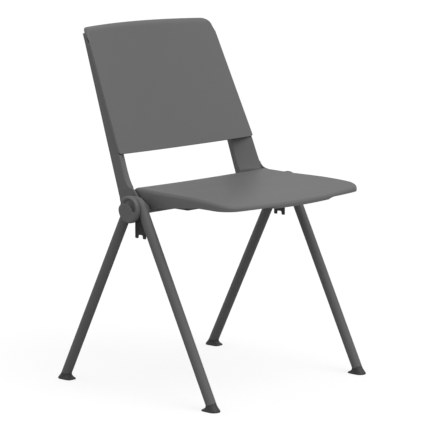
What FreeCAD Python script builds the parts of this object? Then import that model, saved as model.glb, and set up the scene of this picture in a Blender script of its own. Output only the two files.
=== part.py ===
import FreeCAD, Part
import math
import os

# Nesting chair: inverted V side frames of bent tube, a crossbar through both crooks,
# a seat that flips up about the crossbar, and a back panel on two cast uprights.
# Millimetres. The sitter faces -Y, +X is the sitter's left, Z = 0 is the floor.

V = FreeCAD.Vector
X_AXIS = V(1, 0, 0)
Y_AXIS = V(0, 1, 0)
Z_AXIS = V(0, 0, 1)

# Side frames
side_x = 265.0              # plane of each side frame
tube_d = 25.0
tube_wall = 2.0
foot_half_spread = 251.0    # floor point of a leg's axis, from the pivot
pivot_z = 444.2
crossbar_d = 20.0
crossbar_wall = 2.0

# Floor glides
glide_collar = 17.0         # along the leg's axis, from the floor
glide_toe = 30.0            # toe, inwards from the leg's axis
glide_width = 30.0
glide_toe_t = 3.0
glide_ramp_h = 11.0
glide_spigot_l = 24.0
glide_fit = 0.15            # spigot to bore, on the radius

# Hub caps
hub_r = 32.5
hub_t = 12.5
hub_round = 5.0
hub_pocket_depth = 7.0
hub_pocket_r = 20.0
hub_y = 3.5                 # cap's centre, from the pivot
hub_z = 4.5
hub_pocket_y = -6.0         # pocket's centre, from the cap's
hub_pocket_z = 3.5
hub_disc_r = 24.5
hub_disc_y = 6.0            # raised disc's centre, from the cap's
hub_disc_z = -12.5
hub_notch_r = 12.0          # bite out of the rim, behind the disc's top
hub_notch_y = 34.9
hub_notch_z = 16.3
hub_spigot_l = 20.0
hub_spigot_fit = 0.1

# Stacking guides
guide_hub_r = 16.0
guide_t = 3.0
guide_front = 16.5          # forward reach from the pivot
guide_back = 18.5
guide_drop = 69.0           # tips below the pivot
guide_slot_w = 15.5
guide_slot_h = 8.8
guide_slot_round = 4.0
guide_slot_y = 1.0          # slot's middle, from the pivot
guide_play = 0.1

# Uprights, with heights and distances behind the pivot
upright_top = 406.8
upright_taper = 0.058       # outer face moves in per mm up
upright_inset = 0.3         # outer face inside the flange's, at the pivot
upright_join = 135.8        # above this the front follows the panel
upright_w = 45.0
upright_rear = 70.0         # outer rear edge carried down to the pivot's height
upright_rear_lean = 0.381
upright_rear_low = 18.0     # inner rear edge lies this far behind the outer one
upright_rear_high = 7.0     # the same at the top
upright_turn = 33.5         # inner front edge lies this far behind the outer one
upright_front = ((5.8, 36.0), (39.8, 44.0), (45.8, 49.5), (53.8, 54.5), (65.8, 60.5))
web_corners = ((34.0, 45.5), (52.0, 47.5), (77.5, 22.8), (70.5, 5.8), (56.5, -12.2))
flange_t = 7.5
flange_r = 18.0
lug_r = 8.5
flange_gap = 9.0            # flange to leg
flange_play = 0.1
stub_r = 5.5
stub_angles = (28.0, 66.0)
bolt_r = 3.0
bolt_head_r = 5.0
bolt_head_t = 3.0
bolt_socket_r = 2.4
bolt_socket_depth = 1.8
bolt_into_tube = 6.0

# Back panel, with its front face's bottom edge measured from the pivot
panel_rise = 114.5
panel_back = 104.4
panel_len = 326.0
panel_arch = 13.7
panel_low_arch = 4.5
panel_lean = 23.5
panel_t = 5.5
panel_curve_r = 1100.0
panel_roll_r = 18.0
panel_top_corner_r = 22.0
panel_low_corner_r = 5.0
panel_gap = 0.3
panel_screw_heights = (63.0, 158.0, 253.0)
panel_screw_inset = 20.0
panel_screw_bite = 3.5
screw_r = 2.5
screw_play = 0.1
screw_head_r = 4.5
screw_head_t = 3.0
screw_cap_t = 1.6

# Seat, with heights above the pivot and distances ahead of it
seat_rear_r = 60.0          # rear roll, about the pivot
seat_roll_top = 54.0        # its ends, in degrees above the level
seat_roll_low = -14.0
seat_gap = 1.5
seat_reach = 294.5
seat_side_gap = 5.0         # rear corner to the upright's flange
seat_rear_start = 42.0      # rear end of the straight sides, behind the pivot
seat_flare = 12.0           # each side is this much wider at the front corner
seat_corner = 238.5
seat_corner_r = 42.0
seat_front_bow = 22.0
seat_top = ((-120.0, 51.3, 1.0), (-40.0, 48.3, 2.0), (53.5, 45.6, 8.0), (153.5, 44.7, 8.5),
            (228.5, 40.6, 6.4), (275.5, 33.2, 2.0), (314.5, 26.0, 0.5))
seat_skin = 5.0
seat_wall = 4.0
seat_lip = 20.8             # front lip's lower edge
skirt_low = 0.8             # skirt's lower edge at the pivot
skirt_slope = 0.118
skirt_end = 178.5
lip_start = 218.5
seat_notch_r = 19.0

# Under the seat
stiffener_rise = 10.8       # web's underside above the crossbar
stiffener_t = 3.0
stiffener_in = 66.0
stiffener_out = 150.0
stiffener_rear = 28.0
stiffener_front = 204.0
stiffener_flange = 9.0
boss_r = 8.0
seat_screw_x = 125.0
seat_screw_reaches = (185.5, 105.5, -12.5)
seat_screw_l = 8.0
bearing_in = 74.0
bearing_out = 112.0
bearing_half = 24.0
bearing_play = 0.06
strap_t = 5.0
strap_screw_y = 17.5
rest_x = 131.0
rest_w = 20.0
rest_reach = 88.0
rest_t = 7.0
rest_lift = 2.0             # its underside at the crossbar, above the pivot
bumper_reach = 74.0
bumper_r = 8.0
bumper_h = 8.0
bumper_stem_r = 3.0

tube_r = tube_d / 2
crossbar_r = crossbar_d / 2
bend_r = tube_r + crossbar_r
foot_reach = foot_half_spread + glide_width / 2
pivot_y = (max(seat_reach, foot_reach) - foot_reach) / 2
pivot = V(0, pivot_y, pivot_z)
leg_far = math.hypot(foot_half_spread, pivot_z)
leg_angle = math.acos(bend_r / leg_far) - math.atan2(pivot_z, foot_half_spread)
leg_up = V(0, -math.sin(leg_angle), math.cos(leg_angle))
flange_out = side_x - tube_r - flange_gap
flange_in = flange_out - flange_t
panel_lean_rad = math.radians(panel_lean)
panel_up = V(0, math.sin(panel_lean_rad), math.cos(panel_lean_rad))
panel_normal = V(0, -math.cos(panel_lean_rad), math.sin(panel_lean_rad))
panel_base = V(0, pivot_y + panel_back, pivot_z + panel_rise)
seat_rear_half = flange_in - seat_side_gap
seat_front_half = seat_rear_half + seat_flare
stiffener_z = pivot_z + crossbar_r + stiffener_rise
strap_z = pivot_z - crossbar_r - strap_t
bearing_mid = (bearing_in + bearing_out) / 2


def cylinder(radius, start, direction, length):
    return Part.makeCylinder(radius, length, start, direction)


def along_x(radius, x0, x1, y=pivot_y, z=pivot_z):
    return cylinder(radius, V(x0, y, z), X_AXIS, x1 - x0)


def block(x0, x1, y0, y1, z0, z1):
    return Part.makeBox(x1 - x0, y1 - y0, z1 - z0, V(x0, y0, z0))


def prism_x(points, x0, x1):
    """Side profile of (y, z) points, drawn out from x0 to x1."""
    corners = [V(x0, y, z) for y, z in points]
    face = Part.Face(Part.makePolygon(corners + corners[:1]))
    return face.extrude(V(x1 - x0, 0, 0))


def mirrored(shape):
    return shape.mirror(V(0, 0, 0), X_AXIS)


def to_front(shape):
    return shape.mirror(pivot, Y_AXIS)


def on_pivot(distance, degrees):
    """Point of the side view at a distance and an angle from the pivot."""
    a = math.radians(degrees)
    return pivot_y + distance * math.cos(a), pivot_z + distance * math.sin(a)


def export(name, shape):
    shape.exportStep("parts/" + name + ".step")


def export_pair(name, left):
    """A piece of the sitter's left, and its mirror image on the right."""
    export(name + "_left", left)
    export(name + "_right", mirrored(left))


def leg_bar(radius, start, length):
    """Straight length of the left rear leg, from a height above the floor."""
    foot = V(side_x, pivot_y + foot_half_spread, 0)
    return cylinder(radius, foot + leg_up * start, leg_up, length)


def leg_straight():
    """Length of a leg's axis from the floor to the start of the bend."""
    return math.sqrt(leg_far ** 2 - bend_r ** 2)


def frame_tube(radius):
    """Both legs and the bend between them as one bar."""
    length = leg_straight() - glide_collar
    rear = leg_bar(radius, glide_collar, length)
    start = V(side_x, pivot_y + bend_r * math.cos(leg_angle), pivot_z + bend_r * math.sin(leg_angle))
    disc = Part.Face(Part.Wire(Part.makeCircle(radius, start, leg_up)))
    turn = 180.0 - 2 * math.degrees(leg_angle)
    bend = disc.revolve(V(side_x, pivot_y, pivot_z), X_AXIS, turn)
    return rear.fuse([bend, to_front(rear)]).removeSplitter()


def bolt_points():
    return [on_pivot(bend_r, angle) for angle in stub_angles]


def side_frame():
    tube = frame_tube(tube_r).cut(frame_tube(tube_r - tube_wall))
    for y, z in bolt_points():
        tube = tube.cut(along_x(bolt_r, side_x - tube_r - 1, side_x - tube_r + bolt_into_tube, y, z))
    return tube


def crossbar():
    end = side_x + tube_r
    return along_x(crossbar_r, -end, end).cut(along_x(crossbar_r - crossbar_wall, -end, end))


def glide():
    """Moulded shoe on the left rear leg: sleeve end, ramp to a thin toe, and spigot."""
    foot_y = pivot_y + foot_half_spread
    half = glide_width / 2
    toe_y = foot_y - glide_toe
    ramp_y = foot_y - tube_r * 0.6
    tail_y = foot_y + half
    side = [(tail_y, 0), (tail_y, glide_toe_t), (foot_y, glide_ramp_h), (ramp_y, glide_ramp_h),
            (toe_y, glide_toe_t), (toe_y, 0)]
    ramp = prism_x(side, side_x - half, side_x + half)
    plan = block(side_x - half, side_x + half, toe_y, foot_y, 0, glide_ramp_h)
    plan = plan.fuse(cylinder(half, V(side_x, foot_y, 0), Z_AXIS, glide_ramp_h))
    sleeve = leg_bar(tube_r, -tube_d, tube_d + glide_collar)
    spigot = leg_bar(tube_r - tube_wall - glide_fit, 0, glide_collar + glide_spigot_l)
    shoe = ramp.common(plan).fuse([sleeve, spigot])
    below = block(side_x - 60, side_x + 60, foot_y - 80, foot_y + 80, -60, 0)
    return shoe.cut(below).removeSplitter()


def hub_cap():
    """Round cap over the crook, with a crescent pocket beside its raised disc."""
    inner = side_x + tube_r
    outer = inner + hub_t
    cap_y = pivot_y + hub_y
    cap_z = pivot_z + hub_z
    drum = along_x(hub_r, inner, outer, cap_y, cap_z)
    rim = [e for e in drum.Edges if e.Closed and abs(e.CenterOfMass.x - outer) < 0.01]
    drum = drum.makeFillet(hub_round, rim)
    floor = outer - hub_pocket_depth
    pocket = along_x(hub_pocket_r, floor, outer + 1, cap_y + hub_pocket_y, cap_z + hub_pocket_z)
    disc = along_x(hub_disc_r, floor, outer + 1, cap_y + hub_disc_y, cap_z + hub_disc_z)
    spigot_r = crossbar_r - crossbar_wall - hub_spigot_fit
    spigot = along_x(spigot_r, inner - hub_spigot_l, inner)
    notch = along_x(hub_notch_r, inner, outer + 1, cap_y + hub_notch_y, cap_z + hub_notch_z)
    return drum.cut([pocket.cut(disc), notch]).fuse(spigot).removeSplitter()


def stacking_guide():
    """Black fork that hangs from the crossbar between the upright and the leg."""
    x0 = flange_out + guide_play
    x1 = side_x - tube_r - guide_play
    mid = (x0 + x1) / 2
    tip_z = pivot_z - guide_drop
    hub = along_x(guide_hub_r, x0, x1)
    plate = block(mid - guide_t / 2, mid + guide_t / 2, pivot_y - guide_front, pivot_y + guide_back, tip_z, pivot_z)
    slot_y = pivot_y + guide_slot_y
    half = guide_slot_w / 2
    slot = block(x0, x1, slot_y - half, slot_y + half, tip_z - guide_slot_h, tip_z + guide_slot_h)
    roof = [e for e in slot.Edges if e.CenterOfMass.z > tip_z + guide_slot_h - 0.01
            and abs(e.Length - (x1 - x0)) < 0.01]
    slot = slot.makeFillet(guide_slot_round, roof)
    bore = along_x(crossbar_r, x0 - 1, x1 + 1)
    return plate.fuse(hub).cut(slot.fuse(bore)).removeSplitter()


def upright_half(z):
    """Outer face of the left upright, which runs in towards the top."""
    return flange_out - upright_inset - upright_taper * (z - pivot_z)


def panel_sag(x):
    """How far the curved panel comes forward at a distance from the middle."""
    return panel_curve_r - math.sqrt(panel_curve_r ** 2 - x * x)


def panel_front_y(z, x):
    """Front face of the panel at a height and a distance from the middle."""
    return panel_base.y + math.tan(panel_lean_rad) * (z - panel_base.z) - panel_sag(x) / math.cos(panel_lean_rad)


def upright_rear_y(z, inset):
    """Rear face of an upright at a height and a distance in from its outer face."""
    share = max(0.0, (z - pivot_z - upright_join) / (upright_top - upright_join))
    turn = upright_rear_low + (upright_rear_high - upright_rear_low) * share
    return pivot_y + upright_rear + upright_rear_lean * (z - pivot_z) + turn * inset / upright_w


def upright_section(z, front_y, inner_front):
    """Level section of the left upright as a closed wire."""
    outer = upright_half(z)
    inner = min(outer, upright_half(pivot_z + upright_join)) - upright_w
    points = [V(outer, front_y, z), V(inner, inner_front, z), V(inner, upright_rear_y(z, upright_w), z),
              V(outer, upright_rear_y(z, 0), z)]
    return Part.makePolygon(points + points[:1])


def upright_bar():
    """The upright's own bar: a turned foot, then a back that carries the panel."""
    join_z = pivot_z + upright_join
    rows = [(pivot_z + rise, pivot_y + y) for rise, y in upright_front]
    rows.append((join_z, panel_front_y(join_z, upright_half(join_z))))
    lower = Part.makeLoft([upright_section(z, y, y + upright_turn) for z, y in rows], True, True)
    spans = []
    for z in (join_z, pivot_z + upright_top):
        outer = upright_half(z)
        spans.append(upright_section(z, panel_front_y(z, outer), panel_front_y(z, outer - upright_w)))
    upper = Part.makeLoft(spans, True, True)
    return lower.fuse(upper).cut(along_x(seat_rear_r + seat_gap, 0, flange_in))


def upright():
    """Casting with a flange round the crossbar and two stubs that reach the leg's bend."""
    corners = [on_pivot(flange_r, 75)] + [(pivot_y + y, pivot_z + z) for y, z in web_corners]
    corners.append(on_pivot(flange_r, -75))
    parts = [prism_x(corners, flange_in, flange_out), along_x(flange_r, flange_in, flange_out)]
    for y, z in bolt_points():
        parts.append(along_x(lug_r, flange_in, flange_out, y, z))
        parts.append(along_x(stub_r, flange_in, side_x - tube_r, y, z))
    body = upright_bar().fuse(parts)
    body = body.cut(along_x(crossbar_r + flange_play, flange_in - 1, flange_out + 1))
    for y, z in bolt_points():
        body = body.cut(along_x(bolt_r, flange_in - 1, side_x, y, z))
        body = body.cut(along_x(bolt_head_r, flange_in - 1, flange_in + bolt_head_t, y, z))
    body = body.cut(panel_space())
    for hole in panel_screw_holes(screw_play):
        body = body.cut(hole)
    return body.removeSplitter()


def upright_bolts():
    solids = []
    for y, z in bolt_points():
        shank = along_x(bolt_r, flange_in + bolt_head_t, side_x - tube_r + bolt_into_tube, y, z)
        head = along_x(bolt_head_r, flange_in, flange_in + bolt_head_t, y, z)
        socket = along_x(bolt_socket_r, flange_in - 1, flange_in + bolt_socket_depth, y, z)
        solids.append(shank.fuse(head).cut(socket).removeSplitter())
    return Part.makeCompound(solids)


def panel_profile(x, grow):
    """Section of the panel at a distance from the middle: flat front and rolled top."""
    low = -grow
    thick = panel_t + grow
    inner_r = panel_roll_r - thick
    quarter = math.sqrt(0.5)
    half = upright_half(pivot_z + upright_top)
    top = panel_len + panel_arch * (1 - (x / half) ** 2) - panel_roll_r

    def at(u, n):
        return panel_base + X_AXIS * x + panel_up * u + panel_normal * (panel_sag(x) + n)

    outer_mid = at(top + panel_roll_r * quarter, panel_roll_r * (quarter - 1))
    inner_mid = at(top + inner_r * quarter, inner_r * quarter - panel_roll_r)
    edges = [
        Part.LineSegment(at(low, 0), at(top, 0)).toShape(),
        Part.Arc(at(top, 0), outer_mid, at(top + panel_roll_r, -panel_roll_r)).toShape(),
        Part.LineSegment(at(top + panel_roll_r, -panel_roll_r), at(top + inner_r, -panel_roll_r)).toShape(),
        Part.Arc(at(top + inner_r, -panel_roll_r), inner_mid, at(top, -thick)).toShape(),
        Part.LineSegment(at(top, -thick), at(low, -thick)).toShape(),
        Part.LineSegment(at(low, -thick), at(low, 0)).toShape(),
    ]
    return Part.Wire(edges)


def panel_stations():
    """Distances from the middle where the panel's sections are drawn."""
    reach = 1.06 * upright_half(panel_base.z)
    return [reach * step / 4 for step in range(-4, 5)]


def panel_sheet(grow):
    """Curved sheet of the panel, wider than its outline and grown by a gap at its back."""
    return Part.makeLoft([panel_profile(x, grow) for x in panel_stations()], True, False)


def panel_space():
    """Room for the panel: its sheet with a gap, and all that lies in front of it."""
    slices = []
    for x in panel_stations():
        start = panel_base + X_AXIS * x + panel_normal * (panel_sag(x) - panel_t / 2)
        low = start - panel_up * panel_gap
        high = start + panel_up * (panel_len + panel_arch - panel_roll_r)
        ahead = panel_normal * (2 * upright_w)
        slices.append(Part.makePolygon([low, high, high + ahead, low + ahead, low]))
    return panel_sheet(panel_gap).fuse(Part.makeLoft(slices, True, False))


def panel_outline():
    """Outline of the panel seen square on, drawn out through its thickness."""
    depth = panel_sag(upright_half(panel_base.z)) + 3 * panel_roll_r
    low_half = upright_half(panel_base.z)
    top_half = upright_half(panel_base.z + panel_len * panel_up.z)
    start = panel_base - panel_normal * depth

    def at(x, u):
        return start + X_AXIS * x + panel_up * u

    left = at(top_half, panel_len)
    right = at(-top_half, panel_len)
    edges = [
        Part.Arc(at(-low_half, 0), at(0, panel_low_arch), at(low_half, 0)).toShape(),
        Part.LineSegment(at(low_half, 0), left).toShape(),
        Part.Arc(left, at(0, panel_len + panel_arch), right).toShape(),
        Part.LineSegment(right, at(-low_half, 0)).toShape(),
    ]
    board = Part.Face(Part.Wire(edges)).extrude(panel_normal * (2 * depth))
    for radius, high in ((panel_top_corner_r, True), (panel_low_corner_r, False)):
        board = board.makeFillet(radius, [e for e in corner_edges(board, 2 * depth)
                                          if ((e.CenterOfMass - panel_base).dot(panel_up) > panel_len / 2) == high])
    return board


def corner_edges(board, thickness):
    """Straight edges along the thickness at the board's sharp corners."""
    found = []
    for edge in board.Edges:
        if len(edge.Vertexes) != 2:
            continue
        run = edge.Vertexes[1].Point - edge.Vertexes[0].Point
        if abs(abs(run.dot(panel_normal)) - thickness) < 0.01 and is_sharp(board, edge):
            found.append(edge)
    return found


def is_sharp(board, edge):
    """True where the two faces beside an edge don't flow into each other."""
    normals = []
    for face in board.ancestorsOfType(edge, Part.Face):
        u, v = face.Surface.parameter(edge.CenterOfMass)
        normals.append(face.normalAt(u, v))
    return abs(normals[0].dot(normals[1])) < 0.99


def panel_screw_lines():
    """Front point and shank length of each screw on the left, square to the panel."""
    lines = []
    for height in panel_screw_heights:
        z = panel_base.z + height * panel_up.z
        x = upright_half(z) - panel_screw_inset
        front_y = panel_front_y(z, x)
        depth = (upright_rear_y(z, panel_screw_inset) - front_y) * -panel_normal.y
        behind = panel_t - panel_screw_bite
        start = V(x, front_y, z) - panel_normal * behind
        lines.append((start, depth - behind - screw_head_t - screw_cap_t))
    return lines


def panel_screw_holes(play):
    """Holes for the screws, with a wider one for the head that runs out at the back."""
    shapes = []
    for start, length in panel_screw_lines():
        shank = cylinder(screw_r + play, start, -panel_normal, length)
        head = cylinder(screw_head_r + play, start - panel_normal * length, -panel_normal, upright_w)
        shapes.append(shank.fuse(head))
    return shapes


def panel_screws():
    solids = []
    for start, length in panel_screw_lines():
        shank = cylinder(screw_r, start, -panel_normal, length)
        head = cylinder(screw_head_r, start - panel_normal * length, -panel_normal, screw_head_t)
        solids.append(shank.fuse(head).removeSplitter())
    return Part.makeCompound(solids)


def screw_caps():
    solids = []
    for start, length in panel_screw_lines():
        face = start - panel_normal * (length + screw_head_t)
        solids.append(cylinder(screw_head_r, face, -panel_normal, screw_cap_t))
    return Part.makeCompound(solids)


def back_panel():
    panel = panel_sheet(0).common(panel_outline())
    for hole in panel_screw_holes(0):
        panel = panel.cut([hole, mirrored(hole)])
    return panel.removeSplitter()


def seat_half(ahead):
    """Half width of the seat's straight sides at a distance ahead of the pivot."""
    share = (ahead + seat_rear_start) / (seat_corner + seat_rear_start)
    return seat_rear_half + seat_flare * share


def seat_plan(inset):
    """Seat outline from above: straight flared sides, rounded corners and a bowed front."""
    behind = seat_rear_r + 20
    rear = pivot_y + behind
    front = pivot_y - seat_reach + inset
    wide = seat_half(-behind) - inset
    corner = seat_half(seat_corner) - inset
    low = pivot_z - 2 * seat_rear_r
    left = V(corner, front + seat_front_bow, low)
    right = V(-corner, front + seat_front_bow, low)
    edges = [
        Part.LineSegment(V(-wide, rear, low), V(wide, rear, low)).toShape(),
        Part.LineSegment(V(wide, rear, low), left).toShape(),
        Part.Arc(left, V(0, front, low), right).toShape(),
        Part.LineSegment(right, V(-wide, rear, low)).toShape(),
    ]
    height = 4 * seat_rear_r
    board = Part.Face(Part.Wire(edges)).extrude(Z_AXIS * height)
    corners = [e for e in board.Edges
               if len(e.Vertexes) == 2 and abs(e.Length - height) < 0.01 and e.CenterOfMass.y < pivot_y]
    return board.makeFillet(seat_corner_r - inset, corners)


def seat_above(drop):
    """Solid above the seat's dished top face, lowered by a distance."""
    wires = []
    half = 1.1 * seat_front_half
    high = pivot_z + 2 * seat_rear_r
    for ahead, side, dish in seat_top:
        y = pivot_y - ahead
        z = pivot_z + side - drop
        brim = z + dish / 4
        left = V(half, y, brim)
        right = V(-half, y, brim)
        arc = Part.Arc(right, V(0, y, z - dish), left).toShape()
        lid = Part.makePolygon([left, V(half, y, high), V(-half, y, high), right])
        wires.append(Part.Wire([arc] + lid.Edges))
    return Part.makeLoft(wires, True, False)


def seat_side_profile(inset, floor_drop):
    """Side view of the seat's body: rear roll about the pivot, skirt line and front lip."""
    roll = seat_rear_r - inset
    top = on_pivot(roll, seat_roll_top)
    mid = on_pivot(roll, (seat_roll_top + seat_roll_low) / 2)
    low = on_pivot(roll, seat_roll_low)
    front = pivot_y - seat_reach - 30
    high = pivot_z + 2 * seat_rear_r
    floor_z = pivot_z + skirt_low - floor_drop
    end_z = floor_z + skirt_slope * skirt_end
    line = [V(0, *low), V(0, pivot_y, floor_z), V(0, pivot_y - skirt_end, end_z), V(0, pivot_y - lip_start, end_z),
            V(0, front, pivot_z + seat_lip - floor_drop), V(0, front, high), V(0, top[0], high), V(0, *top)]
    edges = Part.makePolygon(line).Edges
    edges.append(Part.Arc(V(0, *top), V(0, *mid), V(0, *low)).toShape())
    wide = 1.2 * seat_front_half
    body = Part.Face(Part.Wire(edges)).extrude(X_AXIS * (2 * wide))
    body.translate(X_AXIS * -wide)
    return body


def seat_shell():
    """Moulded seat: dished skin, side skirts, front lip and rear roll."""
    solid = seat_side_profile(0, 0).common(seat_plan(0)).cut(seat_above(0))
    inside = seat_side_profile(seat_wall, seat_rear_r).common(seat_plan(seat_wall)).cut(seat_above(seat_skin))
    shell = solid.cut(inside)
    bosses = []
    pilots = []
    for ahead in seat_screw_reaches:
        for x in (-seat_screw_x, seat_screw_x):
            foot = V(x, pivot_y - ahead, stiffener_z)
            bosses.append(cylinder(boss_r, foot + Z_AXIS * stiffener_t, Z_AXIS, seat_rear_r).common(solid))
            pilots.append(cylinder(screw_r, foot, Z_AXIS, seat_screw_l))
    shell = shell.fuse(bosses).cut(pilots)
    wide = 1.2 * seat_front_half
    below = block(-wide, wide, pivot_y - seat_notch_r, pivot_y + seat_notch_r, pivot_z - seat_rear_r, pivot_z)
    return shell.cut([along_x(seat_notch_r, -wide, wide), below]).removeSplitter()


def seat_stiffener():
    """Pressed steel channel that ties the bearing to the seat."""
    rear = pivot_y + stiffener_rear
    front = pivot_y - stiffener_front
    low = stiffener_z - stiffener_flange
    plate = block(stiffener_in, stiffener_out, front, rear, low, stiffener_z + stiffener_t)
    inside = block(stiffener_in + stiffener_t, stiffener_out - stiffener_t, front - 1, rear + 1, low - 1, stiffener_z)
    holes = [cylinder(screw_r + screw_play, V(seat_screw_x, pivot_y - ahead, low), Z_AXIS, 2 * stiffener_flange)
             for ahead in seat_screw_reaches]
    holes += [cylinder(screw_r, V(bearing_mid, pivot_y + y, low), Z_AXIS, 2 * stiffener_flange)
              for y in (-strap_screw_y, strap_screw_y)]
    return plate.cut([inside] + holes).removeSplitter()


def screw_up(x, y, z, length):
    """Screw with its head under a height and its shank going up."""
    shank = cylinder(screw_r, V(x, y, z), Z_AXIS, length)
    head = cylinder(screw_head_r, V(x, y, z - screw_head_t), Z_AXIS, screw_head_t)
    return shank.fuse(head).removeSplitter()


def seat_screws():
    return Part.makeCompound([screw_up(seat_screw_x, pivot_y - ahead, stiffener_z, seat_screw_l)
                              for ahead in seat_screw_reaches])


def strap_screws():
    low = strap_z + screw_head_t
    length = stiffener_z + stiffener_t - low
    return Part.makeCompound([screw_up(bearing_mid, pivot_y + y, low, length)
                              for y in (-strap_screw_y, strap_screw_y)])


def bearing_strap():
    """Lower half of the bearing, with the screws' heads let in."""
    strap = bearing_half_block(strap_z, pivot_z)
    for y in (-strap_screw_y, strap_screw_y):
        strap = strap.cut(cylinder(screw_head_r + screw_play, V(bearing_mid, pivot_y + y, strap_z - 1), Z_AXIS,
                                   screw_head_t + 1))
    return strap


def bearing_half_block(z0, z1):
    """Block with half of the crossbar's bore and two screw holes."""
    blank = block(bearing_in, bearing_out, pivot_y - bearing_half, pivot_y + bearing_half, z0, z1)
    cuts = [along_x(crossbar_r + bearing_play, bearing_in - 1, bearing_out + 1)]
    for y in (-strap_screw_y, strap_screw_y):
        cuts.append(cylinder(screw_r + screw_play, V(bearing_mid, pivot_y + y, z0 - 1), Z_AXIS, z1 - z0 + 2))
    return blank.cut(cuts)


def seat_rest():
    """Steel finger welded to the crossbar, with the bumper on its end."""
    top = stiffener_z - bumper_h
    front = pivot_y - rest_reach
    profile = [(front, top - rest_t), (front, top), (pivot_y, top), (pivot_y + 7, pivot_z + 9.5),
               (pivot_y + 7, pivot_z), (pivot_y - 8, pivot_z + rest_lift)]
    finger = prism_x(profile, rest_x - rest_w / 2, rest_x + rest_w / 2)
    hole = cylinder(bumper_stem_r, V(rest_x, pivot_y - bumper_reach, top - rest_t - 1), Z_AXIS, rest_t + 2)
    return finger.cut([along_x(crossbar_r, rest_x - rest_w, rest_x + rest_w), hole])


def rest_bumper():
    top = stiffener_z - bumper_h
    y = pivot_y - bumper_reach
    pad = cylinder(bumper_r, V(rest_x, y, top), Z_AXIS, bumper_h)
    stem = cylinder(bumper_stem_r, V(rest_x, y, top - rest_t), Z_AXIS, rest_t)
    return pad.fuse(stem).removeSplitter()


def main():
    os.makedirs("parts", exist_ok=True)
    export_pair("side_frame", side_frame())
    export("crossbar", crossbar())
    rear_glide = glide()
    export_pair("foot_rear", rear_glide)
    export_pair("foot_front", to_front(rear_glide))
    export_pair("hub_cap", hub_cap())
    export_pair("stacking_guide", stacking_guide())
    export_pair("upright", upright())
    export_pair("upright_bolts", upright_bolts())
    export("back_panel", back_panel())
    export_pair("panel_screws", panel_screws())
    export_pair("screw_caps", screw_caps())
    export("seat_shell", seat_shell())
    export_pair("seat_stiffener", seat_stiffener())
    export_pair("seat_screws", seat_screws())
    export_pair("pivot_bearing", bearing_half_block(pivot_z, stiffener_z))
    export_pair("bearing_strap", bearing_strap())
    export_pair("strap_screws", strap_screws())
    export_pair("seat_rest", seat_rest())
    export_pair("rest_bumper", rest_bumper())


main()
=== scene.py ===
import math

import bmesh
import bpy
from mathutils import Matrix, Vector


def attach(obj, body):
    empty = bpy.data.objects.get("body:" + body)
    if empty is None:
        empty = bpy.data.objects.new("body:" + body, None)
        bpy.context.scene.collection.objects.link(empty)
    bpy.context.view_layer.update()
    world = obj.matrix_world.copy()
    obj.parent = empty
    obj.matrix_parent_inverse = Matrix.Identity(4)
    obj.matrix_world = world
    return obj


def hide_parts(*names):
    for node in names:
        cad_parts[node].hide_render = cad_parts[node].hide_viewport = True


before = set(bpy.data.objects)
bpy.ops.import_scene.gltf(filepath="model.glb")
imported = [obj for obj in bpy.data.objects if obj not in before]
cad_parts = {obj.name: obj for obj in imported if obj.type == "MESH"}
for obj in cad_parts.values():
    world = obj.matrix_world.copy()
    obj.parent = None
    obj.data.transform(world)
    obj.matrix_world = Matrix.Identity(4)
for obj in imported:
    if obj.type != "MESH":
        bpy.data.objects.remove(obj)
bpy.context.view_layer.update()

# The photograph's view: a long lens from the sitter's right front, a little above seat height.
# The centre of the chair sits half a pixel right of and below the middle of the picture.
photo_turn = math.radians(-46.98)
photo_rise = math.radians(9.252)
photo_range = 5.6742
photo_target = Vector((-0.00044, 0.00403, 0.40265))
photo_px = 430
view_back = Vector((math.sin(photo_turn) * math.cos(photo_rise),
                    -math.cos(photo_turn) * math.cos(photo_rise),
                    math.sin(photo_rise)))
lens = bpy.data.cameras.new("photo_lens")
lens.lens = 194.68
lens.sensor_width = 36
lens.shift_x = -0.5 / photo_px
lens.shift_y = 0.5 / photo_px
lens.clip_end = 200
camera = bpy.data.objects.new("photo_camera", lens)
bpy.context.scene.collection.objects.link(camera)
camera.location = photo_target + view_back * photo_range
camera.rotation_euler = view_back.to_track_quat("Z", "Y").to_euler()
bpy.context.scene.camera = camera

# The studio: a pale seamless floor, one broad soft lamp nearly overhead and a little to the front,
# and an even surround. The floor shows white to the camera and keeps the chair's faint shadow.
scene = bpy.context.scene
scene.view_settings.view_transform = "Standard"
floor_half = 60


def colour(code):
    """Linear colour of an sRGB hex code."""
    parts = [int(code[i:i + 2], 16) / 255 for i in (1, 3, 5)]
    return [p / 12.92 if p <= 0.04045 else ((p + 0.055) / 1.055) ** 2.4 for p in parts] + [1.0]


def add(tree, kind, settings=None, links=None):
    """Adds a node with its settings, and links its inputs from other nodes' outputs."""
    node = tree.nodes.new(kind)
    for key, value in (settings or {}).items():
        if key in node.inputs:
            node.inputs[key].default_value = value
        else:
            setattr(node, key, value)
    for key, source in (links or {}).items():
        tree.links.new(source, node.inputs[key])
    return node


def material(name):
    """Empty node material."""
    made = bpy.data.materials.new(name)
    made.use_nodes = True
    made.node_tree.nodes.clear()
    return made


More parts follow.
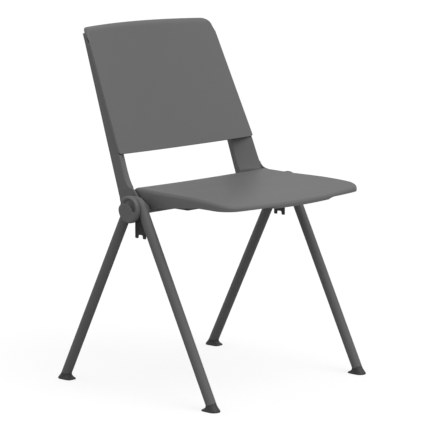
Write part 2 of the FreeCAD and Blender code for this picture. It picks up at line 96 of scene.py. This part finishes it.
# Matt white paper: gives the eye an even page on which the shadow stays soft and grey.
paper = material("white_paper_sweep")
tree = paper.node_tree
seen = add(tree, "ShaderNodeLightPath")
paper_face = add(tree, "ShaderNodeBsdfDiffuse", {"Color": colour("#8c8c8c")})
paper_bounce = add(tree, "ShaderNodeBsdfDiffuse", {"Color": colour("#a8a8a8")})
paper_glow = add(tree, "ShaderNodeEmission", {"Color": colour("#ffffff"), "Strength": 0.76})
paper_lit = add(tree, "ShaderNodeAddShader")
tree.links.new(paper_face.outputs[0], paper_lit.inputs[0])
tree.links.new(paper_glow.outputs[0], paper_lit.inputs[1])
paper_mix = add(tree, "ShaderNodeMixShader", links={"Fac": seen.outputs["Is Camera Ray"]})
tree.links.new(paper_bounce.outputs[0], paper_mix.inputs[1])
tree.links.new(paper_lit.outputs[0], paper_mix.inputs[2])
add(tree, "ShaderNodeOutputMaterial", links={"Surface": paper_mix.outputs[0]})

sweep = bmesh.new()
bmesh.ops.create_grid(sweep, x_segments=1, y_segments=1, size=floor_half)
sweep_mesh = bpy.data.meshes.new("floor_sweep")
sweep.to_mesh(sweep_mesh)
sweep_mesh.materials.append(paper)
floor = bpy.data.objects.new("floor_sweep", sweep_mesh)
scene.collection.objects.link(floor)

surround = bpy.data.worlds.new("studio_surround")
surround.use_nodes = True
tree = surround.node_tree
tree.nodes.clear()
seen = add(tree, "ShaderNodeLightPath")
fill = add(tree, "ShaderNodeBackground", {"Color": colour("#ffffff"), "Strength": 0.74})
white = add(tree, "ShaderNodeBackground", {"Color": colour("#ffffff"), "Strength": 1.0})
blend = add(tree, "ShaderNodeMixShader", links={"Fac": seen.outputs["Is Camera Ray"]})
tree.links.new(fill.outputs[0], blend.inputs[1])
tree.links.new(white.outputs[0], blend.inputs[2])
add(tree, "ShaderNodeOutputWorld", links={"Surface": blend.outputs[0]})
scene.world = surround

softbox = bpy.data.lights.new("overhead_softbox", "SUN")
softbox.energy = 1.08
softbox.angle = math.radians(50)
lamp = bpy.data.objects.new("overhead_softbox", softbox)
scene.collection.objects.link(lamp)
lamp.rotation_euler = Vector((0.03, -0.56, 0.83)).to_track_quat("Z", "Y").to_euler()

# The welded frame: 25 mm steel tube bent over the crossbar, with the crossbar and the seat's rest fingers,
# all in one satin grey powder coat whose fine orange peel breaks up the highlight along each leg.
pivot = Vector((0, 0.01425, 0.4442))
rough_swing = 0.05
cloud_scale = 14.0


def grained(name, code, rough, grain_mm, bump_mm, shade=0.06, ior=1.5):
    """Opaque finish with a fine relief of a real grain size, and a slight cloudiness of its colour."""
    made = material(name)
    tree = made.node_tree
    place = add(tree, "ShaderNodeTexCoord")
    fine = add(tree, "ShaderNodeTexNoise", {"Scale": 1000 / grain_mm, "Detail": 2.0, "Roughness": 0.55},
               {"Vector": place.outputs["Object"]})
    broad = add(tree, "ShaderNodeTexNoise", {"Scale": cloud_scale, "Detail": 3.0, "Roughness": 0.6},
                {"Vector": place.outputs["Object"]})
    base = colour(code)
    dark = [c * (1 - shade) for c in base[:3]] + [1.0]
    pale = [c * (1 + shade) for c in base[:3]] + [1.0]
    tint = add(tree, "ShaderNodeMix", {"data_type": "RGBA"}, {"Factor": broad.outputs["Fac"]})
    # Inputs 6 and 7 and output 2 are the Mix node's colour sockets.
    tint.inputs[6].default_value = dark
    tint.inputs[7].default_value = pale
    worn = add(tree, "ShaderNodeMapRange", {"To Min": rough - rough_swing, "To Max": rough + rough_swing},
               {"Value": fine.outputs["Fac"]})
    relief = add(tree, "ShaderNodeBump", {"Strength": 0.6, "Distance": bump_mm / 1000},
                 {"Height": fine.outputs["Fac"]})
    skin = add(tree, "ShaderNodeBsdfPrincipled", {"IOR": ior},
               {"Base Color": tint.outputs[2], "Roughness": worn.outputs[0], "Normal": relief.outputs[0]})
    add(tree, "ShaderNodeOutputMaterial", links={"Surface": skin.outputs[0]})
    return made


# Satin powder coat: gives the eye a soft, slightly grainy highlight along each tube.
powder_coat = grained("grey_powder_coat", "#5e5e5e", 0.60, 1.4, 0.10)


def finish_nodes(made, *names):
    """Gives CAD pieces their finish."""
    for name in names:
        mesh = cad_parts[name].data
        mesh.materials.clear()
        mesh.materials.append(made)


sides = ("left", "right")
for side in sides:
    finish_nodes(powder_coat, "side_frame_" + side, "seat_rest_" + side)
finish_nodes(powder_coat, "crossbar")

# Floor glides: dark grey soft plastic shoes, moulded in one piece. A collar as thick as the tube runs
# down into a ramp and a thin squared toe that points in along the floor.
# Soft plastic: gives the eye a darker, dull foot under each satin leg.
glide_plastic = grained("dark_soft_plastic", "#343434", 0.55, 0.9, 0.08)
leg_lean = Vector((0, -0.45309, 0.89146))
foot_y = 0.251
leg_x = 0.265
tube_r = 0.0125
collar_top = 0.017
toe_half = 0.015
toe_reach = 0.030
tail_reach = 0.0155


def add_piece(name, mesh_data, made, body, slot_name, *replaced):
    """Turns a bmesh into a piece that rides on a body and stands for its CAD nodes."""
    mesh = bpy.data.meshes.new(name)
    mesh_data.to_mesh(mesh)
    mesh_data.free()
    for face in mesh.polygons:
        face.use_smooth = True
    mesh.materials.append(made)
    piece = bpy.data.objects.new(name, mesh)
    scene.collection.objects.link(piece)
    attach(piece, body)
    if replaced:
        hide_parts(*replaced)
    return piece


def mirror_x(mesh_data):
    """Turns a left piece into its right one."""
    bmesh.ops.scale(mesh_data, vec=(-1, 1, 1), verts=mesh_data.verts)
    bmesh.ops.recalc_face_normals(mesh_data, faces=mesh_data.faces)


def skin_rings(mesh_data, rings):
    """Faces between neighbouring rings of equal length, and a cap on each end."""
    for low, high in zip(rings, rings[1:]):
        for i in range(len(low)):
            j = (i + 1) % len(low)
            mesh_data.faces.new((low[i], low[j], high[j], high[i]))
    mesh_data.faces.new(rings[0][::-1])
    mesh_data.faces.new(rings[-1])


def soften_edges(piece, width, segments, degrees):
    """Small moulding radius on every edge sharper than an angle."""
    soften = piece.modifiers.new("moulded_edges", "BEVEL")
    soften.width = width
    soften.segments = segments
    soften.limit_method = "ANGLE"
    soften.angle_limit = math.radians(degrees)
    soften.harden_normals = True


def squared(angle, half_x, toe, tail):
    """Point of the toe's squared outline at an angle: flat sides, a square toe and a round tail."""
    c = math.cos(angle)
    s = math.sin(angle)
    toe_power = 5.0
    tail_power = 2.2
    power = toe_power if s < 0 else tail_power
    grow = (abs(c) ** power + abs(s) ** power) ** (-1 / power)
    return half_x * c * grow, (toe if s < 0 else tail) * s * grow


def glide():
    """Shoe of a rear leg, about the leg axis's own floor point."""
    shoe = bmesh.new()
    around = 40
    rings = []
    # Each level: height, and the share of the toe's outline against the tube's.
    levels = [(0.0000, 1.00), (0.0022, 1.00), (0.0030, 0.97), (0.0042, 0.80),
              (0.0060, 0.56), (0.0085, 0.30), (0.0115, 0.10), (0.0150, 0.0)]
    for height, share in levels:
        ring = []
        for i in range(around):
            angle = 2 * math.pi * i / around
            wide_x, wide_y = squared(angle, toe_half, toe_reach, tail_reach)
            centre = leg_lean * (height / leg_lean.z)
            slim_x = tube_r * math.cos(angle)
            slim_y = tube_r / leg_lean.z * math.sin(angle) + centre.y
            x = slim_x + (wide_x - slim_x) * share
            y = slim_y + (wide_y - slim_y) * share
            ring.append(shoe.verts.new((x, y, height)))
        rings.append(ring)
    top = []
    for i in range(around):
        angle = 2 * math.pi * i / around
        across = Vector((math.cos(angle), math.sin(angle) * leg_lean.z, -math.sin(angle) * leg_lean.y))
        top.append(shoe.verts.new(leg_lean * collar_top + across * tube_r))
    rings.append(top)
    skin_rings(shoe, rings)
    bmesh.ops.recalc_face_normals(shoe, faces=shoe.faces)
    return shoe


for side in sides:
    for end in ("front", "rear"):
        shoe = glide()
        if end == "front":
            bmesh.ops.scale(shoe, vec=(1, -1, 1), verts=shoe.verts)
            bmesh.ops.recalc_face_normals(shoe, faces=shoe.faces)
        reach = foot_y if end == "rear" else -foot_y
        across_x = leg_x if side == "left" else -leg_x
        bmesh.ops.translate(shoe, vec=(across_x, pivot.y + reach, 0), verts=shoe.verts)
        piece = add_piece("glide_" + end + "_" + side, shoe, glide_plastic, "frame", "glide_rubber",
                          "foot_" + end + "_" + side)
        soften_edges(piece, 0.0006, 2, 40)

# Hub caps: round caps of moulded nylon over the crook of each side frame. A raised rim swirls in round a
# crescent pocket and flows into the flat disc in the middle.
# Moulded nylon: gives the eye a slightly smoother, brighter face than the coat round it.
cap_nylon = grained("grey_moulded_nylon", "#606060", 0.46, 0.8, 0.05)
cap_centre = Vector((0, pivot.y + 0.0035, pivot.z + 0.0045))
cap_base_x = 0.2775
cap_r = 0.0325
cap_t = 0.0125
cap_edge_r = 0.005
rim_dip = 0.0046
pocket_at = (-0.0045, 0.0045)
disc_at = (0.0075, -0.0085)


def smooth(value, low, high):
    """Eases from 0 to 1 as a value goes from low to high."""
    share = min(1.0, max(0.0, (value - low) / (high - low)))
    return share * share * (3 - 2 * share)


def rim_radius(angle):
    """The cap's outline, with the dip where the rim starts above the disc."""
    dip = math.exp(-((angle - math.radians(24)) / math.radians(15)) ** 2)
    return cap_r - rim_dip * dip


def cap_height(p, q, radius, rim):
    """Height of the cap's face above its base at a point of the side view."""
    edge = rim - radius
    height = cap_t
    if edge < cap_edge_r:
        height = cap_t - cap_edge_r + math.sqrt(max(0.0, cap_edge_r ** 2 - (cap_edge_r - edge) ** 2))
    in_pocket = math.hypot(p - pocket_at[0], q - pocket_at[1])
    in_disc = math.hypot(p - disc_at[0], q - disc_at[1])
    pocket = (1 - smooth(in_pocket, 0.0185, 0.0225)) * smooth(in_disc, 0.0215, 0.0245)
    turn = math.degrees(math.atan2(q - pocket_at[1], p - pocket_at[0]))
    depth = 0.0035 + 0.0055 * smooth(abs(turn) if turn > 0 else 180.0, 40, 150)
    if p < -0.012:
        pocket *= smooth(q, -0.0050, -0.0010)
    return height - depth * pocket


def hub_cap():
    """Polar sheet raised into the cap's face, with a wall down to its base."""
    cap = bmesh.new()
    around = 144
    shares = [0.992, 0.975, 0.95, 0.92, 0.885] + [0.86 - 0.02 * i for i in range(42)]
    bmesh.ops.create_circle(cap, segments=around, radius=1.0)
    loop = list(cap.edges)
    for share in shares:
        grown = bmesh.ops.extrude_edge_only(cap, edges=loop)["geom"]
        verts = [g for g in grown if isinstance(g, bmesh.types.BMVert)]
        loop = [g for g in grown if isinstance(g, bmesh.types.BMEdge) and all(v in verts for v in g.verts)]
        length = verts[0].co.length
        bmesh.ops.scale(cap, vec=(share / length,) * 3, verts=verts)
    bmesh.ops.contextual_create(cap, geom=loop)
    for vert in cap.verts:
        share = vert.co.length
        angle = math.atan2(vert.co.y, vert.co.x)
        rim = rim_radius(angle)
        p = math.cos(angle) * share * rim
        q = math.sin(angle) * share * rim
        vert.co = (cap_height(p, q, share * rim, rim), p, q)
    outer = [e for e in cap.edges if e.is_boundary]
    wall = bmesh.ops.extrude_edge_only(cap, edges=outer)["geom"]
    foot = [g for g in wall if isinstance(g, bmesh.types.BMVert)]
    for vert in foot:
        vert.co.x = 0.0
    base = [g for g in wall if isinstance(g, bmesh.types.BMEdge) and all(v in foot for v in g.verts)]
    bmesh.ops.contextual_create(cap, geom=base)
    bmesh.ops.recalc_face_normals(cap, faces=cap.faces)
    bmesh.ops.translate(cap, vec=cap_centre + Vector((cap_base_x, 0, 0)), verts=cap.verts)
    return cap


for side in sides:
    cap = hub_cap()
    if side == "right":
        mirror_x(cap)
    add_piece("swirl_cap_" + side, cap, cap_nylon, "frame", "cap_plastic", "hub_cap_" + side)

# Stacking guides: black nylon forks clipped on the crossbar between upright and leg. A thin plate hangs
# down to two blunt prongs with rounded tips.
# Black nylon: gives the eye a near-black accent beside each leg.
black_nylon = grained("black_moulded_nylon", "#2e2e2e", 0.5, 0.8, 0.05)
fork_x = 0.2465
fork_t = 0.003
fork_front = 0.0165
fork_back = 0.0185
fork_drop = 0.069
slot_middle = 0.0010
slot_half = 0.00775
slot_depth = 0.0088
clip_x = 0.248
clip_r = 0.016
clip_w = 0.0086


def stacking_guide():
    """Left fork: a flat plate with two prongs, and the clip round the crossbar."""
    fork = bmesh.new()
    front = pivot.y - fork_front
    back = pivot.y + fork_back
    tip = pivot.z - fork_drop
    slot_front = pivot.y + slot_middle - slot_half
    slot_back = pivot.y + slot_middle + slot_half
    roof = tip + slot_depth
    outline = [(front, pivot.z), (front, tip), (slot_front, tip), (slot_front, roof), (slot_back, roof),
               (slot_back, tip), (back, tip), (back, pivot.z)]
    face = fork.faces.new([fork.verts.new((fork_x, y, z)) for y, z in outline])
    tips = [v for v in face.verts if abs(v.co.z - tip) < 1e-6]
    crooks = [v for v in face.verts if abs(v.co.z - roof) < 1e-6]
    bmesh.ops.bevel(fork, geom=tips, offset=0.0024, offset_type="OFFSET", segments=4, profile=0.5,
                    affect="VERTICES", material=-1)
    bmesh.ops.bevel(fork, geom=crooks, offset=0.0038, offset_type="OFFSET", segments=5, profile=0.5,
                    affect="VERTICES", material=-1)
    grown = bmesh.ops.extrude_face_region(fork, geom=list(fork.faces))["geom"]
    far_side = [g for g in grown if isinstance(g, bmesh.types.BMVert)]
    bmesh.ops.translate(fork, vec=(fork_t, 0, 0), verts=far_side)
    ring = bmesh.ops.create_cone(fork, cap_ends=True, segments=48, radius1=clip_r, radius2=clip_r,
                                 depth=clip_w)
    turned = Matrix.Translation((clip_x, pivot.y, pivot.z)) @ Matrix.Rotation(math.pi / 2, 4, "Y")
    bmesh.ops.transform(fork, matrix=turned, verts=ring["verts"])
    bmesh.ops.recalc_face_normals(fork, faces=fork.faces)
    return fork


for side in sides:
    fork = stacking_guide()
    if side == "right":
        mirror_x(fork)
    piece = add_piece("fork_guide_" + side, fork, black_nylon, "frame", "black_plastic",
                      "stacking_guide_" + side)
    soften_edges(piece, 0.0007, 2, 50)

# Uprights: aluminium castings in the frame's powder coat. Each bar rises from behind the seat with its
# front face turned inwards and its long edges rounded, and the panel lies in its front.
# Powder coat on a casting: gives the eye a slightly coarser grain than the tubes have.
cast_coat = grained("powder_coated_casting", "#606060", 0.55, 1.6, 0.12)
panel_base = Vector((0, pivot.y + 0.1044, pivot.z + 0.1145))
panel_lean = math.radians(23.5)
panel_up = Vector((0, math.sin(panel_lean), math.cos(panel_lean)))
panel_normal = Vector((0, -math.cos(panel_lean), math.sin(panel_lean)))
panel_roll = 0.018
panel_length = 0.326
panel_curve_r = 1.1
panel_seat_z = panel_base.z + 0.008
bar_half = 0.2432
bar_taper = 0.058
bar_width = 0.045
bar_join_z = 0.58
bar_under_panel = 0.0058
foot_clear_r = 0.0617
foot_turn = 0.0335
foot_top_z = 0.4620
web_inner_x = 0.2362
web_inset = 0.0003


def upright_half(z):
    """Half of the width over both uprights at a height."""
    return bar_half - bar_taper * (z - pivot.z)


def panel_sag(x):
    """How far the curved panel comes forward at its sides."""
    return panel_curve_r - math.sqrt(panel_curve_r ** 2 - x * x)


def upright_front(z, x):
    """Front of the bar: the turned foot, then the seat cut for the panel and its rolled top."""
    rise = z - pivot.z
    if z < panel_seat_z:
        foot = ((0.0058, 0.036), (0.0398, 0.044), (0.0458, 0.0485), (0.0538, 0.0537),
                (0.0658, 0.0600), (0.0858, 0.0682), (0.1358, 0.0866))
        for (h0, y0), (h1, y1) in zip(foot, foot[1:]):
            if rise <= h1:
                turn = foot_turn * (upright_half(z) - x) / bar_width
                clear = math.sqrt(max(0.0, foot_clear_r ** 2 - rise ** 2))
                return pivot.y + max(clear, y0 + (y1 - y0) * (rise - h0) / (h1 - h0) + turn)
    past = (z - panel_base.z) / panel_up.z - (panel_length - panel_roll)
    inner = panel_roll - bar_under_panel
    back = bar_under_panel
    if past > 0:
        back = panel_roll - math.sqrt(max(0.0, inner ** 2 - min(past, inner) ** 2))
    line = panel_base.y + math.tan(panel_lean) * (z - panel_base.z)
    return line + (back - panel_sag(x)) / math.cos(panel_lean)


def upright_rear(z, x):
    """Back of the bar, which turns less towards its top."""
    rise = z - pivot.z
    share = min(1.0, max(0.0, (rise - 0.1358) / 0.271))
    turn = (0.018 - 0.011 * share) * (upright_half(z) - x) / bar_width
    return pivot.y + 0.070 + 0.381 * rise + turn


def rounded(corners, radii, steps=4):
    """Closed outline of (x, y) corners with each corner rounded."""
    line = []
    for i, here in enumerate(corners):
        last = (corners[i - 1] - here).normalized()
        following = (corners[(i + 1) % len(corners)] - here).normalized()
        half_angle = last.angle(following) / 2
        cut = radii[i] / math.tan(half_angle)
        centre = here + (last + following).normalized() * (radii[i] / math.sin(half_angle))
        start = (here + last * cut - centre).normalized()
        end = (here + following * cut - centre).normalized()
        for k in range(steps + 1):
            line.append(centre + start.slerp(end, k / steps) * radii[i])
    return line


def upright():
    """Bar lofted through rounded level sections, on the flange and stubs of the CAD piece."""
    bar = bmesh.new()
    levels = [0.457, 0.463, 0.469, 0.475, 0.480, 0.485, 0.490, 0.494, 0.500, 0.508,
              0.517, 0.528, 0.540, 0.552, 0.5585, 0.566, 0.5675, bar_join_z]
    levels += [0.61 + 0.03 * i for i in range(7)] + [0.81, 0.825, 0.835, 0.841, 0.845, 0.8475]
    rings = []
    for z in levels:
        outer = upright_half(z)
        inner = min(outer, upright_half(bar_join_z)) - bar_width
        soft = 0.0032 if z < panel_seat_z else 0.0010
        ahead = 0.0022 * smooth(z, 0.492, 0.500) if z < panel_seat_z else 0.0
        corners = [Vector((outer, upright_front(z, outer) - ahead)), Vector((inner, upright_front(z, inner))),
                   Vector((inner, upright_rear(z, inner))), Vector((outer, upright_rear(z, outer)))]
        end = smooth(z, 0.825, 0.8475)
        outline = rounded(corners, [soft, soft + 0.001, 0.004 - 0.002 * end, 0.003 - 0.001 * end])
        rings.append([bar.verts.new((x, y, z)) for x, y in outline])
    skin_rings(bar, rings)
    foot = bmesh.new()
    foot.from_mesh(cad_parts["upright_left"].data)
    bmesh.ops.remove_doubles(foot, verts=foot.verts, dist=1e-6)
    whole = list(foot.verts) + list(foot.edges) + list(foot.faces)
    cut = bmesh.ops.bisect_plane(foot, geom=whole, plane_co=(0, 0, foot_top_z), plane_no=(0, 0, 1),
                                 clear_outer=True)["geom_cut"]
    bmesh.ops.holes_fill(foot, edges=[g for g in cut if isinstance(g, bmesh.types.BMEdge)])
    base = bpy.data.meshes.new("upright_foot")
    foot.to_mesh(base)
    foot.free()
    bar.from_mesh(base)
    web = [(0.0055, 0.4605), (0.0340, 0.4893), (0.0390, 0.4900), (0.0440, 0.4914), (0.0490, 0.4938),
           (0.0530, 0.4968), (0.0565, 0.5010), (0.0590, 0.5060), (0.0680, 0.5060), (0.0680, 0.4605)]
    inner_face = bar.faces.new([bar.verts.new((web_inner_x, pivot.y + y, z)) for y, z in web])
    grown = bmesh.ops.extrude_face_region(bar, geom=[inner_face])["geom"]
    for vert in grown:
        if isinstance(vert, bmesh.types.BMVert):
            vert.co.x = upright_half(vert.co.z) - web_inset
    bmesh.ops.recalc_face_normals(bar, faces=bar.faces)
    return bar


for side in sides:
    bar = upright()
    if side == "right":
        mirror_x(bar)
    piece = add_piece("cast_upright_" + side, bar, cast_coat, "frame", "upright_paint", "upright_" + side)
    flats = piece.modifiers.new("crease_normals", "EDGE_SPLIT")
    flats.split_angle = math.radians(38)

# Upright bolts and panel screws: zinc-plated steel, with nylon plugs over the panel screws. The plating
# gives the eye a small bright, slightly spangled glint beside the grey coat.
zinc_steel = material("zinc_plated_steel")
tree = zinc_steel.node_tree
place = add(tree, "ShaderNodeTexCoord")
spangle = add(tree, "ShaderNodeTexNoise", {"Scale": 250.0, "Detail": 2.0},
              {"Vector": place.outputs["Object"]})
dull = add(tree, "ShaderNodeMapRange", {"To Min": 0.28, "To Max": 0.42}, {"Value": spangle.outputs["Fac"]})
plate = add(tree, "ShaderNodeBsdfPrincipled", {"Base Color": colour("#b9bcc0"), "Metallic": 1.0},
            {"Roughness": dull.outputs[0]})
add(tree, "ShaderNodeOutputMaterial", links={"Surface": plate.outputs[0]})
for side in sides:
    finish_nodes(zinc_steel, "upright_bolts_" + side, "panel_screws_" + side)
    finish_nodes(cap_nylon, "screw_caps_" + side)

# Back panel: one moulded polypropylene sheet, curved round the sitter's back and leaning back. Its top
# edge rolls over to the rear and round the corners, and its sides lie in the uprights.
# Grained polypropylene: gives the eye one even, softly lit grey over the panel and the seat.
shell_plastic = grained("grained_polypropylene", "#636363", 0.5, 1.1, 0.05, shade=0.03)


def back_panel():
    """Grid laid to the panel's outline, with its top and its upper corners rolled back."""
    length = panel_length
    arch = 0.0137
    low_arch = 0.0045
    top_r = 0.022
    side_roll = 0.009
    low_r = 0.005
    low_half = 0.236
    top_zone = 0.06
    arch_zone = 0.1
    reach = upright_half(panel_base.z + length * panel_up.z)
    rows = [low_r * (1 - math.cos(math.radians(a))) for a in range(0, 91, 18)]
    rows += [low_r + (length - top_zone - low_r) * i / 13 for i in range(1, 14)]
    rows += [length - top_zone + (top_zone - top_r) * i / 6 for i in range(1, 7)]
    rows += [length - top_r + top_r * math.sin(math.radians(a)) for a in range(6, 91, 6)]
    edge = [0, 0.0006, 0.0018, 0.0036, 0.006, 0.009, 0.0125, 0.017, 0.023, 0.031, 0.042, 0.055]
    columns = len(edge) * 2 + 22
    sheet = bmesh.new()
    bmesh.ops.create_grid(sheet, x_segments=columns - 1, y_segments=len(rows) - 1, size=1)
    for vert in sheet.verts:
        c = int(round((vert.co.x + 1) / 2 * (columns - 1)))
        r = int(round((vert.co.y + 1) / 2 * (len(rows) - 1)))
        u = rows[r]
        wide = upright_half(panel_base.z + u * panel_up.z)
        rise = max(0.0, u - (length - top_r))
        half = wide
        half -= top_r - math.sqrt(max(0.0, top_r ** 2 - rise ** 2))
        if u < low_r:
            half -= low_r - math.sqrt(max(0.0, low_r ** 2 - (low_r - u) ** 2))
        side = -1 if c < columns / 2 else 1
        k = c if side < 0 else columns - 1 - c
        if k < len(edge):
            x = half - edge[k]
        else:
            x = (half - edge[-1]) * (1 - (k - len(edge) + 1) / (columns / 2 - len(edge) + 0.5))
        inset = min(length - u, wide - x)
        if rise > 0 and x > wide - top_r:
            inset = top_r - math.hypot(x - (wide - top_r), rise)
        beside = x - (wide - top_r)
        aim = 1.0 if beside <= 0 else (rise / max(1e-9, math.hypot(beside, rise))) ** 2
        roll = side_roll + (panel_roll - side_roll) * aim
        if beside <= 0 and wide - x < length - u:
            roll = side_roll
        bend = roll - min(roll, max(0.0, inset))
        fade = smooth(u, length - 0.045, length - 0.014)
        n = -(roll - math.sqrt(roll ** 2 - bend ** 2)) * fade
        x *= side
        lift = arch * (1 - (x / reach) ** 2) * smooth(u, arch_zone, length)
        lift += low_arch * (1 - (x / low_half) ** 2) * (1 - smooth(u, 0.0, arch_zone))
        vert.co = panel_base + Vector((x, 0, 0)) + panel_up * (u + lift) + panel_normal * (panel_sag(x) + n)
    bmesh.ops.recalc_face_normals(sheet, faces=sheet.faces)
    if sum((f.normal for f in sheet.faces), Vector()).y > 0:
        bmesh.ops.reverse_faces(sheet, faces=sheet.faces)
    return sheet


panel = add_piece("back_shell", back_panel(), shell_plastic, "frame", "shell_plastic", "back_panel")
wall = panel.modifiers.new("wall", "SOLIDIFY")
wall.thickness = 0.0053
wall.offset = -1
soften_edges(panel, 0.0011, 3, 50)

# Seat shell: the same polypropylene, dished, with a soft edge all round. Side skirts taper to a thin front
# lip, and the rear rolls down round the crossbar so that the seat can flip up.
# Each row in mm: distance ahead of the pivot, height of the top above it, and depth of the dish.
seat_rows = ((-42.0, 48.3, 2.0), (0.0, 47.1, 5.2), (53.5, 45.6, 8.0), (110.0, 45.2, 8.5),
             (153.5, 44.7, 8.5), (195.0, 42.9, 7.8), (228.5, 40.5, 6.4), (258.0, 36.5, 4.4),
             (285.0, 31.6, 2.4), (300.0, 28.8, 1.8))
seat_roll = 0.060
seat_front = 0.2945
seat_edge = 0.008
seat_dish_half = 0.267
seat_corner = 0.042
seat_bow = 0.022
seat_bow_half = 0.243
seat_roll_half = 0.2313
bar_clear_r = 0.019


def seat_top(x, ahead):
    """Height of the seat's top face."""
    for (a0, h0, d0), (a1, h1, d1) in zip(seat_rows, seat_rows[1:]):
        if ahead * 1000 <= a1 or a1 == seat_rows[-1][0]:
            share = (ahead * 1000 - a0) / (a1 - a0)
            height = (h0 + (h1 - h0) * share) / 1000
            dish = (d0 + (d1 - d0) * share) / 1000
            return pivot.z + height - dish + 1.25 * dish * (x / seat_dish_half) ** 2


def skirt_low(ahead):
    """Lower edge of the skirt and lip."""
    low = 0.0008 + 0.118 * min(max(ahead, 0.0), 0.1785)
    return pivot.z + low - 0.0011 * max(0.0, ahead - 0.2185) / 0.106


def seat_shell():
    """Grid over the roll and the top, its edge grown through a rounding and down the skirt."""
    corner = seat_corner - seat_edge
    front = seat_front - seat_edge
    start = -0.030
    tops = [start + (front - corner - start) * i / 26 for i in range(1, 27)]
    tops += [front - corner + corner * math.sin(math.radians(a)) for a in range(9, 91, 9)]
    columns = 56
    roll_rows = 12
    knee_rows = 6
    top_row = roll_rows + knee_rows
    rows = top_row + len(tops)
    roll_end = math.radians(-14)
    shell = bmesh.new()
    bmesh.ops.create_grid(shell, x_segments=columns - 1, y_segments=rows - 1, size=1)
    for vert in shell.verts:
        r = int(round((vert.co.y + 1) / 2 * (rows - 1)))
        spread = math.sin(math.pi / 2 * vert.co.x)
        if r >= top_row:
            ahead = tops[r - top_row]
            half = 0.231 + 0.012 * (ahead + 0.042) / 0.2805 - seat_edge
            half -= corner - math.sqrt(max(0.0, corner ** 2 - max(0.0, ahead - front + corner) ** 2))
            x = spread * half
            ahead -= seat_bow * (x / seat_bow_half) ** 2 * max(0.0, (ahead - 0.05) / (front - 0.05))
            vert.co = (x, pivot.y - ahead, seat_top(x, ahead))
        else:
            x = spread * (seat_roll_half - seat_edge)
            top_angle = math.asin((seat_top(x, -0.040) - pivot.z) / seat_roll)
            first = Vector((x, pivot.y - start, seat_top(x, start)))
            knee = Vector((x, pivot.y + seat_roll * math.cos(top_angle),
                           pivot.z + seat_roll * math.sin(top_angle)))
            after = top_angle - 0.15
            last = Vector((x, pivot.y + seat_roll * math.cos(after), pivot.z + seat_roll * math.sin(after)))
            if r >= roll_rows:
                t = (top_row - r) / knee_rows
                vert.co = first * (1 - t) ** 2 + knee * 2 * t * (1 - t) + last * t * t
            else:
                angle = after + (roll_end - after) * (roll_rows - r) / roll_rows
                vert.co = (x, pivot.y + seat_roll * math.cos(angle), pivot.z + seat_roll * math.sin(angle))
    bmesh.ops.recalc_face_normals(shell, faces=shell.faces)
    if sum((f.normal for f in shell.faces), Vector()).z < 0:
        bmesh.ops.reverse_faces(shell, faces=shell.faces)
    shell.normal_update()
    # The whole edge but the roll's lower end, which runs level behind the crossbar.
    loop = [e for e in shell.edges if e.is_boundary
            and not (e.verts[0].co.z < pivot.z and e.verts[1].co.z < pivot.z
                     and abs(e.verts[0].co.y - e.verts[1].co.y) < 1e-5)]
    start_points = {}
    for edge in loop:
        for vert in edge.verts:
            beside = [e.other_vert(vert).co for e in vert.link_edges if e in loop]
            run = (beside[0] - (beside[1] if len(beside) > 1 else vert.co)).normalized()
            out = run.cross(vert.normal).normalized()
            inward = sum((f.calc_center_median() for f in vert.link_faces), Vector()) / len(vert.link_faces)
            if out.dot(vert.co - inward) < 0:
                out.negate()
            start_points[vert] = (vert.co.copy(), out, vert.normal.copy())
    # Five rings round the edge, then one down the skirt.
    steps = 5
    for k in range(1, steps + 2):
        grown = bmesh.ops.extrude_edge_only(shell, edges=loop)["geom"]
        fresh = [g for g in grown if isinstance(g, bmesh.types.BMVert)]
        loop = [g for g in grown if isinstance(g, bmesh.types.BMEdge) and all(v in fresh for v in g.verts)]
        moved = {}
        for vert in fresh:
            old = [e.other_vert(vert) for e in vert.link_edges if e.other_vert(vert) in start_points][0]
            at, out, up = start_points[old]
            moved[vert] = (at, out, up)
            if k <= steps:
                angle = math.pi / 2 * k / steps
                vert.co = at + out * seat_edge * math.sin(angle) - up * seat_edge * (1 - math.cos(angle))
                continue
            ahead = pivot.y - vert.co.y
            if ahead > bar_clear_r:
                vert.co.z = min(vert.co.z, skirt_low(ahead))
            else:
                turn = math.atan2(vert.co.z - pivot.z, vert.co.y - pivot.y)
                vert.co.y = pivot.y + bar_clear_r * math.cos(turn)
                vert.co.z = pivot.z + bar_clear_r * math.sin(turn)
        start_points = moved
    bmesh.ops.recalc_face_normals(shell, faces=shell.faces)
    if sum((f.normal for f in shell.faces if abs(f.normal.z) > 0.9), Vector()).z < 0:
        bmesh.ops.reverse_faces(shell, faces=shell.faces)
    return shell


seat = add_piece("seat_pan", seat_shell(), shell_plastic, "seat", "shell_plastic", "seat_shell")
wall = seat.modifiers.new("wall", "SOLIDIFY")
wall.thickness = 0.004
wall.offset = -1
soften_edges(seat, 0.0011, 3, 50)

# Under the seat, on the CAD pieces: zinc-plated channels screwed to the shell, black bearings that clip
# round the crossbar, and soft bumpers that stop the seat.
for side in sides:
    finish_nodes(zinc_steel, "seat_stiffener_" + side, "seat_screws_" + side, "strap_screws_" + side)
    finish_nodes(black_nylon, "pivot_bearing_" + side, "bearing_strap_" + side)
    finish_nodes(glide_plastic, "rest_bumper_" + side)
